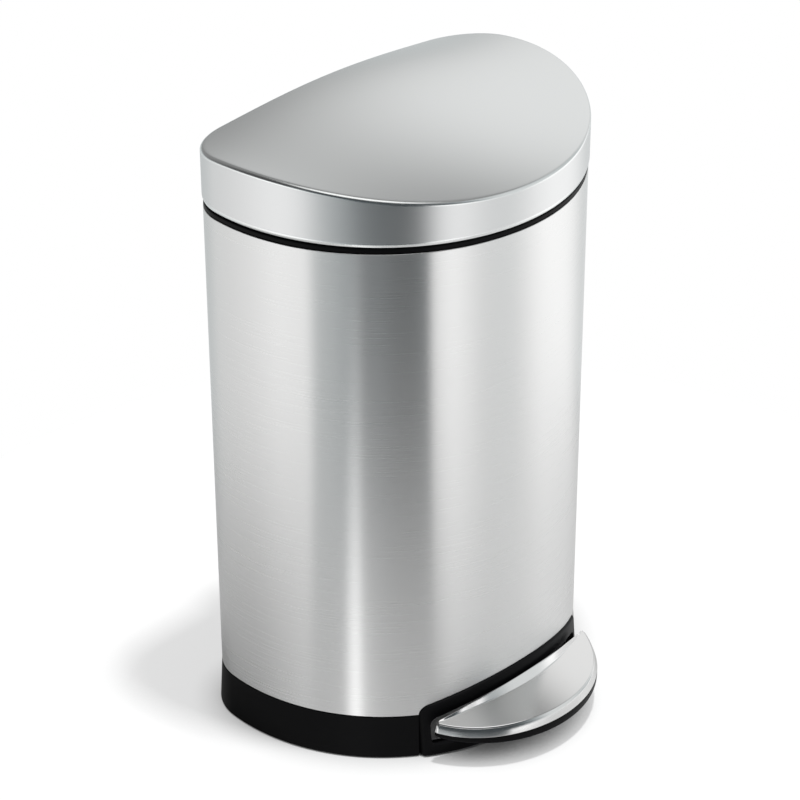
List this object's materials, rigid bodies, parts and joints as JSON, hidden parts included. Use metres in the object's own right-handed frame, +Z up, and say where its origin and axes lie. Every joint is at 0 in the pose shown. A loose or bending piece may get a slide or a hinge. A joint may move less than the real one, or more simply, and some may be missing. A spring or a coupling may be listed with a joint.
{
  "type": "pedal bin",
  "caption": "Semi-round brushed steel pedal bin with a domed hinged lid, black collar and base band, a crescent pedal and a lift-out inner bucket.",
  "frame": {"origin": "on the floor, under the middle of the overall box, pedal and hinge housing included", "axes": "+Z up, the pedal faces -Y, the flat back and the lid's hinge face +Y, +X is to the right seen from the pedal's side"},
  "size_m": [0.272, 0.2352, 0.4328],
  "materials": {
    "brushed_steel": "horizontally brushed satin",
    "black_plastic": "satin",
    "dark_bucket_plastic": "matte",
    "black_rubber": "matte",
    "zinc_steel": "zinc plated",
    "grey_damper_plastic": "matte"
  },
  "bodies": {
    "bin": {"base_skirt": "black_plastic", "foot_front_left": "black_rubber", "foot_front_right": "black_rubber", "foot_rear_left": "black_rubber", "foot_rear_right": "black_rubber", "pedal_surround": "black_plastic", "base_plate": "black_plastic", "left_axle_bracket": "zinc_steel", "right_axle_bracket": "zinc_steel", "left_front_bracket_screw": "zinc_steel", "left_rear_bracket_screw": "zinc_steel", "right_front_bracket_screw": "zinc_steel", "right_rear_bracket_screw": "zinc_steel", "pedal_axle": "zinc_steel", "axle_clip": "zinc_steel", "body_shell": "brushed_steel", "top_collar": "black_plastic", "hinge_housing": "black_plastic", "hinge_pin": "zinc_steel", "left_housing_screw": "zinc_steel", "right_housing_screw": "zinc_steel", "rod_channel": "black_plastic", "lower_rod_guide": "black_plastic", "upper_rod_guide": "black_plastic", "damper_cylinder": "grey_damper_plastic", "damper_cap": "grey_damper_plastic"},
    "lid": {"lid_shell": "brushed_steel", "lid_liner": "black_plastic", "hinge_arm": "zinc_steel", "left_front_arm_screw": "zinc_steel", "left_rear_arm_screw": "zinc_steel", "right_front_arm_screw": "zinc_steel", "right_rear_arm_screw": "zinc_steel", "left_lid_bumper": "black_rubber", "right_lid_bumper": "black_rubber"},
    "pedal": {"pedal_tread": "brushed_steel", "pedal_tray": "black_plastic", "pedal_lever": "zinc_steel", "left_pedal_screw": "zinc_steel", "right_pedal_screw": "zinc_steel"},
    "rod": {"push_rod": "zinc_steel", "rod_foot": "black_plastic", "rod_head": "black_plastic", "damper_piston": "black_plastic"},
    "inner": {"bucket": "dark_bucket_plastic"}
  },
  "joints": [
    {"name": "lid_hinge", "type": "hinge", "parent": "bin", "child": "lid", "pos_m": [0, 0.1108, 0.3827], "axis": [-1, 0, 0], "range_deg": [0, 75]},
    {"name": "pedal_press", "type": "hinge", "parent": "bin", "child": "pedal", "pos_m": [0, -0.041, 0.022], "axis": [1, 0, 0], "range_deg": [0, 10.4]},
    {"name": "rod_lift", "type": "slide", "parent": "bin", "child": "rod", "axis": [0, 0, 1], "range_m": [0, 0.02435]},
    {"name": "bucket_lift", "type": "slide", "parent": "bin", "child": "inner", "axis": [0, 0, 1], "range_m": [0, 0.0035]}
  ],
  "couplings": [
    {"joint": "pedal_press", "follows": "lid_hinge", "ratio": 0.13865},
    {"joint": "rod_lift", "follows": "lid_hinge", "m_per_rad": 0.018602}
  ]
}
